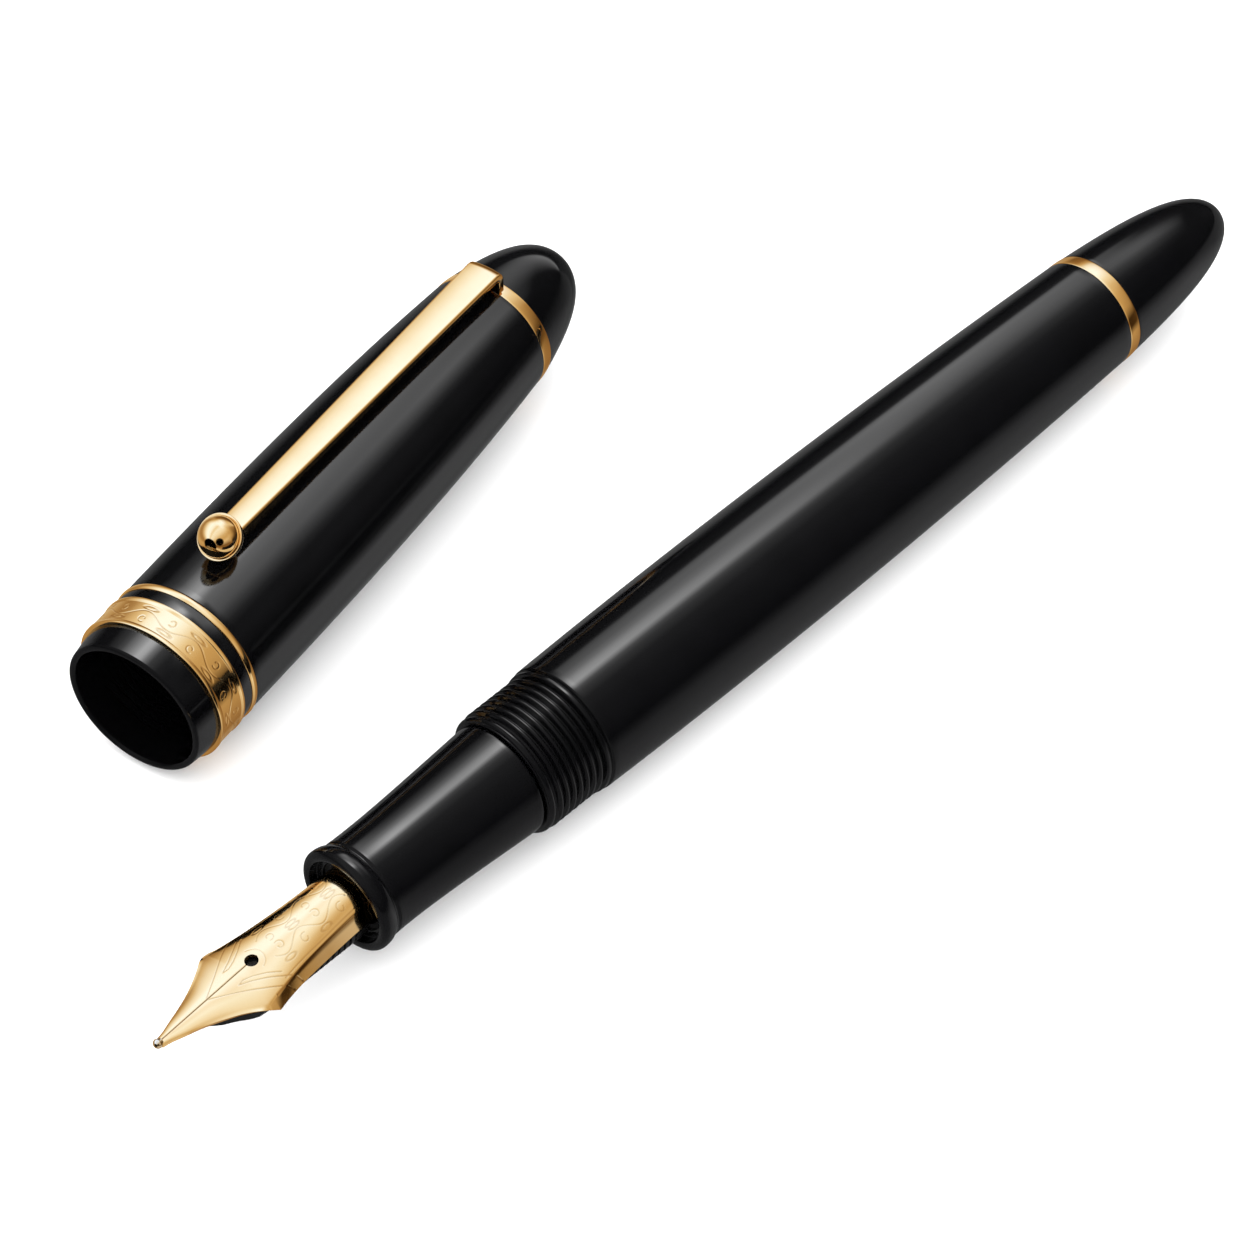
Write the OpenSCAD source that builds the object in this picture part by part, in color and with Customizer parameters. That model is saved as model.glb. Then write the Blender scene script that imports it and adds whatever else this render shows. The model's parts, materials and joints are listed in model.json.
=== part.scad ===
// Fountain pen with its screw cap off and lying beside it. Millimetres, +Z up.
// The pen lies along X with its nib towards -X. The cap is turned a little about Z.
// Lengths on the pen are measured from the front of the grip section's lip, on the cap from its mouth.

/* [Pen] */
// Length of section and barrel, from the lip to the tail
body_len = 112.75; // [111.75:0.25:116]
// Place along the pen where the section meets the barrel
joint_x = 18.8; // [18.6:0.1:19]
// Place along the pen where the cap threads end and the smooth barrel starts
flank_x = 26.3; // [26.1:0.1:26.5]
// Front face of the gold tail ring
tail_ring_x = 94.6; // [93:0.2:95]
// Width of the gold tail ring
tail_ring_w = 1.3; // [1:0.1:1.6]
// Radius of the barrel where it meets the cap threads
flank_r = 6.2; // [6.15:0.01:6.25]
// Radius of the barrel at the tail ring
tail_r = 5.42; // [5.35:0.01:5.5]
// Radius of the section's flared lip
lip_r = 5.02; // [4.95:0.01:5.05]
// Radius of the section's waist behind the lip
waist_r = 4.6; // [4.5:0.01:4.65]
// Radius of the section at its rear end
section_end_r = 5.35; // [5.3:0.01:5.4]
// Crest radius of the cap threads
thread_r = 5.95; // [5.9:0.01:6]
// Distance from one thread crest to the next
thread_pitch = 0.8; // [0.78:0.01:0.81]

/* [Nib] */
// Reach of the nib's ball tip in front of the lip
nib_reach = 21.45; // [21.2:0.05:21.6]
// Outer radius of the nib where it enters the section
nib_root_r = 2.9; // [2.85:0.01:2.92]
// Half of the nib's width at its shoulders
nib_shoulder_w = 4.3; // [4.1:0.05:4.35]
// Thickness of the nib's sheet
nib_t = 0.3; // [0.25:0.01:0.3]
// Radius of the breather hole
breather_r = 0.6; // [0.5:0.05:0.7]
// Width of the ink slit
slit_w = 0.08; // [0.06:0.01:0.12]
// Number of slots between the feed's fins
fin_slots = 13; // [8:1:14]

/* [Filler] */
// Outer radius of the converter's ink tube
ink_tube_r = 3.4; // [3.3:0.01:3.4]
// Inner radius of the converter's ink tube
ink_bore_r = 2.75; // [2.7:0.01:2.8]
// Radius of the piston rod
rod_r = 1; // [0.95:0.01:1]
// Travel of the piston
piston_travel = 16; // [12:0.5:16]

/* [Cap] */
// Length of the cap
cap_len = 64.5; // [64:0.1:65]
// Radius of the cap at its mouth
mouth_r = 6.85; // [6.8:0.01:6.9]
// Radius of the wide gold band, the widest part of the cap
band_r = 7.5; // [7.45:0.01:7.5]
// Radius of the cap's clear bore
cap_bore_r = 6.15; // [6.1:0.01:6.2]
// Radius of the cap at the crown ring
crown_r = 6.2; // [6.1:0.01:6.25]
// Front face of the gold crown ring
crown_ring_x = 53.35; // [53.3:0.05:53.4]
// Width of the gold crown ring
crown_ring_w = 1.3; // [1.1:0.1:1.3]

/* [Clip] */
// Half of the clip's width at its fold
clip_root_w = 1.62; // [1.5:0.01:1.8]
// Half of the clip's width beside the ball
clip_end_w = 1.1; // [1:0.01:1.2]
// Thickness of the clip's bar
clip_t = 0.9; // [0.8:0.05:0.95]
// Radius of the clip's ball
ball_r = 1.85; // [1.7:0.05:1.9]
// Place of the ball along the cap
ball_x = 13.3; // [13:0.1:13.6]

/* [Layout] */
// Turn of the cap about Z
cap_yaw = 10; // [8:0.5:12]
// Mouth of the cap, along the pen from its lip
cap_mouth_x = 2.05; // [0:0.05:4]
// Mouth of the cap, sideways from the pen's axis
cap_mouth_y = 27.44; // [26:0.02:30]

/* [Hidden] */
$fn = 96;

black = [0.05, 0.05, 0.06];
gold = [0.86, 0.68, 0.34];
clear = [0.8, 0.86, 0.9, 0.5];
steel = [0.7, 0.7, 0.72];

face_gap = 0.05;      // between faces that meet across a joint
fit_gap = 0.05;       // radial, between a shaft and its own bore
small_fillet = 0.3;   // rounding of small rims

// Points of a cubic curve from a to d, with handles b and c
function curve(a, b, c, d, n) = [
    for (i = [0:n])
        let (t = i / n)
        pow(1 - t, 3) * a + 3 * pow(1 - t, 2) * t * b + 3 * (1 - t) * t * t * c + pow(t, 3) * d
];

// Points of a quarter-like arc about c, from angle a0 to a1
function arc(c, r, a0, a1, n) = [
    for (i = [0:n])
        let (a = a0 + (a1 - a0) * i / n)
        [c[0] + r * cos(a), c[1] + r * sin(a)]
];

// Outlines are lists of [place along the axis, radius]
barrel_flank = curve([flank_x, flank_r], [48, 6.66], [72, 6.32], [tail_ring_x, tail_r], 24);
pen_z = max([for (p = barrel_flank) p[1]]);

tail_ring_end = tail_ring_x + tail_ring_w;
tail_outline = curve([tail_ring_end, tail_r - 0.07], [104.7, 4.7], [body_len, 3.8], [body_len, 0], 22);

thin_ring_x = 7.25;
thin_ring_w = 0.65;
cap_flank_x = thin_ring_x + thin_ring_w;
cap_flank = curve([cap_flank_x, 7.37], [28, 7.48], [42, 7.1], [crown_ring_x, crown_r], 20);
crown_x = crown_ring_x + crown_ring_w;
crown_outline = curve([crown_x, crown_r - 0.12], [60.2, 5], [cap_len, 3.7], [cap_len, 0], 18);

cap_z = band_r;
cap_far_y = max([for (p = concat(cap_flank, crown_outline))
    cap_mouth_y + p[0] * sin(cap_yaw) + p[1] * cos(cap_yaw)]);
shift_x = (nib_reach - body_len) / 2;
shift_y = (pen_z - cap_far_y) / 2;

module on_pen() translate([shift_x, shift_y, pen_z]) children();
module on_cap() translate([shift_x + cap_mouth_x, shift_y + cap_mouth_y, cap_z])
    rotate([0, 0, cap_yaw]) children();

// Turns an outline about the X axis
module lathe(outline) rotate([0, 90, 0]) rotate_extrude()
    polygon([for (p = outline) [p[1], p[0]]]);

// A plain tube along X
module tube(x0, x1, r_out, r_in) lathe([[x0, r_in], [x0, r_out], [x1, r_out], [x1, r_in]]);

// A rod along X
module rod(x0, x1, r) translate([x0, 0, 0]) rotate([0, 90, 0]) cylinder(h = x1 - x0, r = r);

// ---- grip section and what it holds ----

recess_r = 4.1;
recess_x = 1;
housing_r = 3.4;
socket_x = 16.6;
socket_r = ink_tube_r + 0.4;
tenon_r = 4.6;
tenon_end = 25;
nib_tail_x = 8;

module grip_section() {
    lip_w = 1.5;
    groove_x = 1.9;
    color(black)
    on_pen()
    lathe(concat(
        [[0.1, recess_r]],
        arc([0.35, lip_r - 0.35], 0.35, 180, 90, 5),
        arc([lip_w - 0.45, lip_r - 0.45], 0.45, 90, 15, 5),
        [[groove_x, waist_r + 0.02], [groove_x + 0.25, waist_r + 0.12]],
        curve([groove_x + 0.4, waist_r + 0.12], [6, waist_r - 0.04], [13, section_end_r - 0.3],
            [joint_x - 0.3, section_end_r], 14),
        [[joint_x, section_end_r - 0.15], [joint_x, socket_r], [socket_x, socket_r],
            [socket_x, housing_r], [recess_x, housing_r], [recess_x, recess_r]]
    ));
}

module tenon_sleeve() {
    rib = 0.12;
    color(steel)
    on_pen()
    lathe(concat(
        [[joint_x, socket_r], [joint_x, tenon_r - rib]],
        [for (i = [0:5], s = [[0.5, -rib], [0.7, 0], [1.1, 0], [1.3, -rib]])
            [joint_x + i + s[0], tenon_r + s[1]]],
        [[tenon_end, tenon_r - rib], [tenon_end, socket_r]]
    ));
}

// One row for each station of the nib: place, height of the ridge, half width and height of the
// crease, half width and height of the edge, depth of the point that the thickness aims at
nib_rows = [
    [nib_tail_x, nib_root_r, 2.51, 1.45, 2.9, -0.2, 0],
    [-0.5, nib_root_r, 2.51, 1.45, 2.9, -0.2, 0],
    [-4.5, 2.55, 2.72, 1.3, 3.13, -0.28, -0.2],
    [-8, 2.2, 3.06, 1.15, 3.5, -0.25, -0.6],
    [-10.2, 1.97, 3.38, 1, 3.97, -0.1, -1.4],
    [-11.3, 1.86, 3.56, 0.9, nib_shoulder_w, 0, -2],
    [-12, 1.8, 3.68, 0.82, 4.1, 0.4, -3],
    [-12.6, 1.74, 3.6, 0.8, 3.84, 0.7, -4],
    [-13.9, 1.61, 2.74, 0.94, 3.02, 0.84, -5],
    [-15.5, 1.46, 1.97, 0.9, 2.18, 0.8, -6],
    [-17.5, 1.27, 1.24, 0.92, 1.38, 0.82, -7],
    [-18.9, 1.13, 0.86, 0.9, 0.95, 0.8, -8],
    [-20, 1.02, 0.54, 0.86, 0.6, 0.78, -8],
    [-20.9, 0.95, 0.36, 0.83, 0.42, 0.75, -8]
];
nib_arc_n = 6;

// The ridge's half arch from the middle to the crease, through a circle's arc
function arch(w, top, low, u) =
    let (rise = top - low, r = (w * w + rise * rise) / (2 * rise), a = asin(min(1, w / r)) * u)
    [r * sin(a), top - r + r * cos(a)];

// Half of a station's outline, middle to edge
function nib_half(n) = concat(
    [for (i = [0:nib_arc_n]) arch(n[2], n[1], n[3], i / nib_arc_n)],
    [[n[4], n[5]]]
);

function inward(p, low, t) = p + t * ([0, low] - p) / norm([0, low] - p);

// Closed loop of a station: outside from left edge to right edge, and back along the inside
function nib_loop(n) =
    let (
        half = nib_half(n),
        last = len(half) - 1,
        outside = concat([for (i = [last:-1:1]) [-half[i][0], half[i][1]]], half),
        count = len(outside)
    )
    [for (p = concat(outside, [for (i = [count - 1:-1:0]) inward(outside[i], n[6], nib_t)]))
        [n[0], p[0], p[1]]];

module nib() {
    loops = [for (n = nib_rows) nib_loop(n)];
    m = len(loops[0]);
    rows = len(loops);
    half = m / 2;
    side = [for (j = [0:rows - 2], i = [0:m - 1])
        let (k = (i + 1) % m) [j * m + i, j * m + k, (j + 1) * m + k, (j + 1) * m + i]];
    tail_end = [for (i = [0:half - 2]) [i, m - 1 - i, m - 2 - i, i + 1]];
    base = (rows - 1) * m;
    tip_end = [for (i = [0:half - 2]) [base + i, base + i + 1, base + m - 2 - i, base + m - 1 - i]];
    breather_x = -10.4;
    color(gold)
    on_pen()
    difference() {
        polyhedron([for (l = loops, p = l) p], concat(side, tail_end, tip_end), convexity = 6);
        translate([breather_x, 0, 0]) cylinder(h = 4, r = breather_r);
        translate([-nib_reach, -slit_w / 2, 0]) cube([nib_reach + breather_x, slit_w, 4]);
    }
}

// A ball with a flat face against the ends of the tines
module nib_tip() {
    tip_r = 0.45;
    tip_x = tip_r - nib_reach;
    tine_end = nib_rows[len(nib_rows) - 1][0];
    color(steel)
    on_pen()
    translate([0, 0, 0.8])
    lathe(concat([[tine_end, 0]], arc([tip_x, 0], tip_r, acos((tine_end - tip_x) / tip_r), 180, 12)));
}

// A narrow core runs close under the nib. Deeper fins stand out below the nib's edges.
module feed() {
    core_r = 2.55;
    core_z = -0.6;
    fin_r = 2.75;
    fin_z = -0.75;
    fin_top = -0.6;
    shank_r = 2.42;
    neck_x = 0.4;
    nose_x = -17.3;
    slot_w = 0.28;
    slot_step = 0.66;
    color([0.1, 0.1, 0.1])
    on_pen()
    union() {
        difference() {
            intersection() {
                union() {
                    translate([0, 0, core_z]) rod(nose_x, neck_x, core_r);
                    difference() {
                        translate([0, 0, fin_z]) rod(nose_x, neck_x, fin_r);
                        translate([nose_x - 1, -3, fin_top]) cube([neck_x - nose_x + 2, 6, 4]);
                    }
                    rod(neck_x - 1, nib_tail_x, shank_r);
                }
                rotate([90, 0, 0]) linear_extrude(height = 6, center = true)
                    polygon([[nib_tail_x, 2], [-0.5, 2], [-4.5, 1.9], [-8, 1.65], [-12, 1], [-14, 0.5],
                        [nose_x, 0.42], [nose_x, 0.15], [-14.5, -0.6], [-10.5, -2.2], [-8.5, -3.1],
                        [neck_x, -3.1], [neck_x, -shank_r], [nib_tail_x, -shank_r]]);
                linear_extrude(height = 8, center = true)
                    polygon([[nib_tail_x, 2.8], [-11, 2.8], [-13, 2.55], [-15.5, 1.8], [nose_x, 0.8],
                        [nose_x, -0.8], [-15.5, -1.8], [-13, -2.55], [-11, -2.8], [nib_tail_x, -2.8]]);
            }
            for (i = [0:fin_slots - 1]) difference() {
                translate([-9.2 + i * slot_step, -3, -3.5]) cube([slot_w, 6, 3.9]);
                rod(-10, 1, 1.5);
            }
        }
        rod(nib_tail_x, socket_x - 0.6, nib_root_r);
    }
}

module nib_housing() {
    color([0.12, 0.12, 0.13])
    on_pen()
    tube(recess_x + 0.3, socket_x, housing_r, nib_root_r + 0.04);
}

post_r = 1.3;
post_end = 22;
module ink_post() {
    color([0.12, 0.12, 0.13])
    on_pen()
    tube(socket_x - 0.6, post_end, post_r, 0.5);
}

// ---- barrel ----

barrel_bore_r = ink_tube_r + 0.8;
spigot_r = 3.6;
spigot_x = 88;

module barrel() {
    bead_r = 0.35;
    thread_root = thread_r - 0.4;
    first_crest = joint_x + 1.05;
    crests = 7;
    color(black)
    on_pen()
    lathe(concat(
        [[joint_x + face_gap, tenon_r + fit_gap], [joint_x + face_gap, thread_root - 0.05]],
        arc([joint_x + 0.5, thread_root - 0.05], bead_r, 180, 0, 8),
        [for (i = [0:crests - 1], s = [[0, -0.4], [0.2, 0], [0.45, 0], [0.65, -0.4]])
            [first_crest + i * thread_pitch + s[0], thread_r + s[1]]],
        [[flank_x - 0.85, thread_root], [flank_x - 0.7, flank_r - 0.06],
            [flank_x - 0.3, flank_r - 0.06], [flank_x - 0.15, flank_r - 0.3]],
        barrel_flank,
        [[tail_ring_x, spigot_r], [spigot_x - 2, spigot_r], [spigot_x - 2, barrel_bore_r],
            [tenon_end + 0.5, barrel_bore_r], [tenon_end + 0.5, tenon_r + fit_gap]]
    ));
}

module tail_ring() {
    proud = 0.05;
    color(gold)
    on_pen()
    lathe([[tail_ring_x, spigot_r], [tail_ring_x, tail_r], [tail_ring_x + 0.1, tail_r + proud],
        [tail_ring_end - 0.1, tail_r - 0.07 + proud], [tail_ring_end, tail_r - 0.07],
        [tail_ring_end, spigot_r]]);
}

module tail_cone() {
    color(black)
    on_pen()
    lathe(concat(
        [[spigot_x, 0], [spigot_x, spigot_r], [tail_ring_end, spigot_r]],
        tail_outline
    ));
}

// ---- screw converter ----

mouth_x = 17.2;
tube_x = 26;
collar_x = tube_x + piston_travel + 7;
collar_end = collar_x + 8;
knob_x = collar_end + 0.1;
knob_end = knob_x + 18.4;
nut_x = collar_x + 1.5;
seal_x = tube_x + 0.8;
seal_len = 4.2;

module converter_mouth() {
    lead_in = 0.4;
    color([0.12, 0.12, 0.13])
    on_pen()
    lathe([[mouth_x, post_r + fit_gap], [mouth_x, ink_tube_r - lead_in],
        [mouth_x + lead_in, ink_tube_r], [tube_x, ink_tube_r], [tube_x, 0.8],
        [post_end + 0.8, 0.8], [post_end + 0.8, post_r + fit_gap]]);
}

module converter_tube() {
    color(clear)
    on_pen()
    tube(tube_x, collar_x, ink_tube_r, ink_bore_r);
}

module converter_collar() {
    color(gold)
    on_pen()
    lathe([[collar_x, ink_bore_r], [collar_x, ink_tube_r + 0.2], [collar_end - 0.6, ink_tube_r + 0.2],
        [collar_end, ink_tube_r - 0.1], [collar_end, ink_bore_r]]);
}

module piston_seal() {
    seal_r = ink_bore_r - fit_gap;
    lip = 1.1;
    color([0.2, 0.2, 0.2])
    on_pen()
    lathe([[seal_x, 0], [seal_x, seal_r - 0.5], [seal_x + 0.3, seal_r], [seal_x + lip, seal_r],
        [seal_x + lip + 0.4, seal_r - 0.5], [seal_x + seal_len - lip - 0.4, seal_r - 0.5],
        [seal_x + seal_len - lip, seal_r], [seal_x + seal_len, seal_r], [seal_x + seal_len, 0]]);
}

module piston_rod() {
    color([0.85, 0.85, 0.85])
    on_pen()
    rod(seal_x + seal_len, collar_end - 0.2, rod_r);
}

module drive_nut() {
    nut_r = 2.1;
    color(steel)
    on_pen()
    tube(nut_x, knob_x, nut_r, rod_r + 0.08);
}

module converter_knob() {
    knob_r = 3.15;
    flutes = 16;
    flute_r = 0.28;
    grip_x = knob_x + 5;
    color(black)
    on_pen()
    difference() {
        lathe(concat(
            [[knob_x, rod_r + 0.4], [knob_x, knob_r]],
            arc([knob_end - 0.8, knob_r - 0.8], 0.8, 90, 0, 5),
            [[knob_end, 0], [knob_end - 1.2, 0], [knob_end - 1.2, rod_r + 0.4]]
        ));
        for (i = [0:flutes - 1]) rotate([i * 360 / flutes, 0, 0])
            translate([0, 0, knob_r + 0.08]) rod(grip_x, knob_end + 1, flute_r, $fn = 16);
    }
}

// ---- cap ----

band_x = 2.6;
band_end = 6;
seat_r = band_r - 0.45;
liner_x = 14;
liner_r = 5.5;
liner_end = 50.3;
crown_bore_r = 4.8;

module cap_tube() {
    groove_w = 0.4;
    groove_d = 0.15;
    grooves = 5;
    first_groove = 3.2;
    color(black)
    on_cap()
    lathe(concat(
        [[0.15, cap_bore_r + 0.05], [0, cap_bore_r + 0.2]],
        arc([0.3, mouth_r - 0.3], 0.3, 180, 90, 4),
        [[band_x, mouth_r + 0.3], [band_x, seat_r], [band_end, seat_r],
            [band_end, band_r - 0.18], [thin_ring_x, band_r - 0.18], [thin_ring_x, seat_r],
            [cap_flank_x, seat_r]],
        cap_flank,
        [[crown_ring_x, crown_bore_r], [liner_end + 0.2, crown_bore_r], [liner_end + 0.2, liner_r],
            [liner_x - 1, liner_r], [liner_x - 1, cap_bore_r]],
        [for (i = [grooves - 1:-1:0], s = [[groove_w, 0], [groove_w / 2, groove_d], [0, 0]])
            [first_groove + i * thread_pitch + s[0], cap_bore_r + s[1]]],
        [[0.4, cap_bore_r]]
    ));
}

module cap_band() {
    rim = 0.35;
    color(gold)
    on_cap()
    lathe([[band_x, seat_r], [band_x, band_r - 0.1], [band_x + 0.1, band_r], [band_x + rim, band_r],
        [band_x + rim + 0.1, band_r - 0.08], [band_end - rim - 0.1, band_r - 0.08],
        [band_end - rim, band_r], [band_end - 0.1, band_r], [band_end, band_r - 0.1],
        [band_end, seat_r]]);
}

module cap_thin_ring() {
    proud = 0.1;
    color(gold)
    on_cap()
    lathe([[thin_ring_x, seat_r], [thin_ring_x, band_r - 0.15],
        [thin_ring_x + 0.12, band_r - 0.13 + proud], [cap_flank_x - 0.12, band_r - 0.13 + proud],
        [cap_flank_x, band_r - 0.13], [cap_flank_x, seat_r]]);
}

module inner_cap() {
    wall = 0.3;
    color([0.12, 0.12, 0.13])
    on_cap()
    lathe([[liner_x, liner_r - wall], [liner_x, liner_r], [liner_end, liner_r],
        [liner_end, 0], [liner_end - 1, 0], [liner_end - 1, liner_r - wall]]);
}

module crown_ring() {
    proud = 0.05;
    color(gold)
    on_cap()
    lathe([[crown_ring_x, crown_bore_r], [crown_ring_x, crown_r],
        [crown_ring_x + 0.12, crown_r + proud], [crown_x - 0.12, crown_r - 0.12 + proud],
        [crown_x, crown_r - 0.14], [crown_x, crown_bore_r]]);
}

screw_r = 1.5;
screw_end = 58;
spigot_start = liner_end + 1.3;
module crown() {
    color(black)
    on_cap()
    lathe(concat(
        [[spigot_start, screw_r], [spigot_start, crown_bore_r], [crown_x, crown_bore_r]],
        crown_outline,
        [[screw_end, 0], [screw_end, screw_r]]
    ));
}

module crown_screw() {
    head_r = 3;
    color(steel)
    on_cap()
    union() {
        rod(spigot_start - 1, spigot_start, head_r);
        rod(spigot_start, screw_end, screw_r);
    }
}

// ---- clip ----

cup_wall = 0.25;
cup_r = ball_r + cup_wall;
ball_z = 7.38 + cup_r + 0.12;
fold_top = 8.85;
bar_end_top = 9.72;
fold_x = crown_ring_x + 0.7;
foot_z = crown_r + 0.13;

module clip_bar() {
    fold_r = 1.25;
    bar_start = ball_x + cup_r - 0.3;
    color(gold)
    on_cap()
    intersection() {
        rotate([90, 0, 0]) linear_extrude(height = 6, center = true)
            polygon(concat(
                [[bar_start, bar_end_top]],
                arc([fold_x - fold_r, fold_top - fold_r], fold_r, 86, 0, 6),
                [[fold_x, foot_z], [fold_x - clip_t, foot_z]],
                arc([fold_x - fold_r, fold_top - fold_r], fold_r - clip_t, 0, 86, 3),
                [[bar_start, bar_end_top - clip_t]]
            ));
        linear_extrude(height = 12)
            polygon([[bar_start, -clip_end_w], [fold_x, -clip_root_w], [fold_x, clip_root_w],
                [bar_start, clip_end_w]]);
    }
}

// The cup's open side faces up and towards the cap's mouth
module clip_cup() {
    tilt = -40;
    bar_start = ball_x + cup_r - 0.3;
    color(gold)
    on_cap()
    difference() {
        translate([ball_x, 0, ball_z]) sphere(r = cup_r);
        translate([ball_x, 0, ball_z]) sphere(r = ball_r);
        translate([ball_x, 0, ball_z]) rotate([0, tilt, 0]) translate([-4, -4, 0]) cube([8, 8, 4]);
        translate([bar_start, -4, ball_z - 4]) cube([4, 8, 8]);
    }
}

module clip_ball() {
    color(gold)
    on_cap()
    translate([ball_x, 0, ball_z]) sphere(r = ball_r);
}

grip_section();
tenon_sleeve();
nib();
nib_tip();
feed();
nib_housing();
ink_post();
barrel();
tail_ring();
tail_cone();
converter_mouth();
converter_tube();
converter_collar();
piston_seal();
piston_rod();
drive_nut();
converter_knob();
cap_tube();
cap_band();
cap_thin_ring();
inner_cap();
crown_ring();
crown();
crown_screw();
clip_bar();
clip_cup();
clip_ball();
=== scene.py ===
# Fountain pen with its cap off and lying beside it: the looks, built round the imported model
import json
import math
import bmesh
import bpy
import numpy as np
from mathutils import Matrix, Vector


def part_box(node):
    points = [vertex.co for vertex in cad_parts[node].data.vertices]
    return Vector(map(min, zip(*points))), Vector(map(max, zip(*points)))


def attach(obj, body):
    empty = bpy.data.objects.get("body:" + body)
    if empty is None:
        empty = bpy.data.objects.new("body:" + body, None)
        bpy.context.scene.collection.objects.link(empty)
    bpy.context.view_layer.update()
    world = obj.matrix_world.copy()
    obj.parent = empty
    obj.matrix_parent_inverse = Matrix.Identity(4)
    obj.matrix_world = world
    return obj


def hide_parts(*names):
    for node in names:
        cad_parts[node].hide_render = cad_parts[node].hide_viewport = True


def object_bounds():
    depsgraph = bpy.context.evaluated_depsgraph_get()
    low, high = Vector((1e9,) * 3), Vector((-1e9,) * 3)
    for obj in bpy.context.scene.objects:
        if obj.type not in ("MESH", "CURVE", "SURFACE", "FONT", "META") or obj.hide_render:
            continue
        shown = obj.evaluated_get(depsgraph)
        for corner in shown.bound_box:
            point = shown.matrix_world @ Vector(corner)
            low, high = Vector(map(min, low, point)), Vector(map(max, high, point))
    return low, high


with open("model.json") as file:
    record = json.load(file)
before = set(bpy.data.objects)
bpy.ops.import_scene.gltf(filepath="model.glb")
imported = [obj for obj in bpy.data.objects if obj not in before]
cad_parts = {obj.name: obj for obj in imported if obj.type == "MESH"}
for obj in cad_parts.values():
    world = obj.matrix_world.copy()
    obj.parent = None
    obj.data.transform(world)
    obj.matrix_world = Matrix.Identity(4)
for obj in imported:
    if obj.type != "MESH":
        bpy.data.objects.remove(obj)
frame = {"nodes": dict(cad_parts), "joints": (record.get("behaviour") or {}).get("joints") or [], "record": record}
cadLow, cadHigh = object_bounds()
mm = 0.001

# Outlines below are in millimetres: along the pen from the front of its lip, along the cap from its mouth.
sectionLow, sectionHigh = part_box("grip_section")
penMiddle = (sectionLow + sectionHigh) / 2
penPlace = Matrix.Translation((sectionLow.x, penMiddle.y, penMiddle.z)) @ Matrix.Scale(mm, 4)

record = frame["record"]
capPull = next(j for j in frame["joints"] if j["name"] == "cap_pull")
capAxis = Vector(capPull["axis"]).normalized()
boreMount = next(m for m in record["mounts"] if m["name"] == "cap_bore")
boreLead = 0.4  # the clear bore starts this far inside the mouth
boreHalf = boreMount["dims"]["length_mm"] / 2
capMouth = Vector(boreMount["pos_m"]) - capAxis * (boreHalf + boreLead) * mm
capTurn = Matrix.Rotation(math.atan2(capAxis.y, capAxis.x), 4, "Z")
capPlace = Matrix.Translation(capMouth) @ capTurn @ Matrix.Scale(mm, 4)
print("frame loaded:", len(frame["nodes"]), "nodes")


# Points along a cubic curve from a to d that leaves towards b and arrives from c
def curve(a, b, c, d, count):
    a, b, c, d = (np.array(p, float) for p in (a, b, c, d))
    t = np.linspace(0, 1, count + 1)[:, None]
    along = (1 - t) ** 3 * a + 3 * (1 - t) ** 2 * t * b + 3 * (1 - t) * t * t * c + t**3 * d
    return [tuple(p) for p in along]


def arc(middle, radius, start, end, count):
    angles = np.radians(np.linspace(start, end, count + 1))
    return [(middle[0] + radius * math.cos(a), middle[1] + radius * math.sin(a)) for a in angles]


cornerCosine = 0.966  # a corner that turns less than about 15 degrees is left alone


# Rounds each real corner of an outline
def eased(outline, radius, loop=True, steps=4):
    pts = [np.array(p, float) for p in outline]
    made = []
    for i, here in enumerate(pts):
        if not loop and i in (0, len(pts) - 1):
            made.append(tuple(here))
            continue
        before, after = pts[i - 1], pts[(i + 1) % len(pts)]
        inward, outward = here - before, after - here
        lengthIn, lengthOut = np.linalg.norm(inward), np.linalg.norm(outward)
        turn = np.dot(inward, outward) / max(lengthIn * lengthOut, 1e-12)
        if turn > cornerCosine:
            made.append(tuple(here))
            continue
        reach = min(radius, lengthIn * 0.45, lengthOut * 0.45)
        start, end = here - inward / lengthIn * reach, here + outward / lengthOut * reach
        for t in np.linspace(0, 1, steps + 1):
            made.append(tuple((1 - t) ** 2 * start + 2 * t * (1 - t) * here + t * t * end))
    return made


def finishPiece(name, points, faces, place, body, nodes, material, sharp=42):
    mesh = bpy.data.meshes.new(name)
    turned = np.array(points, float) @ np.array(place.to_3x3()).T + np.array(place.translation)
    mesh.from_pydata(turned.tolist(), [], faces)
    work = bmesh.new()
    work.from_mesh(mesh)
    bmesh.ops.remove_doubles(work, verts=work.verts, dist=1e-7)
    bmesh.ops.recalc_face_normals(work, faces=work.faces)
    work.to_mesh(mesh)
    work.free()
    mesh.shade_smooth()
    mesh.set_sharp_from_angle(angle=math.radians(sharp))
    piece = bpy.data.objects.new(name, mesh)
    bpy.context.scene.collection.objects.link(piece)
    mesh.materials.append(material)
    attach(piece, body)
    if nodes:
        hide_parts(*nodes)
    return piece


# Turns an outline of (along, radius) points about the X axis. A point of radius 0 is a pole.
def turnedPoints(outline, turns, radiusAt=None):
    angles = np.linspace(0, 2 * math.pi, turns, endpoint=False)
    points, rings = [], []
    for along, radius in outline:
        if radius < 1e-6:
            rings.append([len(points)] * turns)
            points.append((along, 0, 0))
            continue
        rings.append(list(range(len(points), len(points) + turns)))
        radii = np.full(turns, radius) if radiusAt is None else radiusAt(along, radius, angles)
        points.extend((along, r * math.sin(a), r * math.cos(a)) for a, r in zip(angles, radii))
    return points, rings


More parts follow.
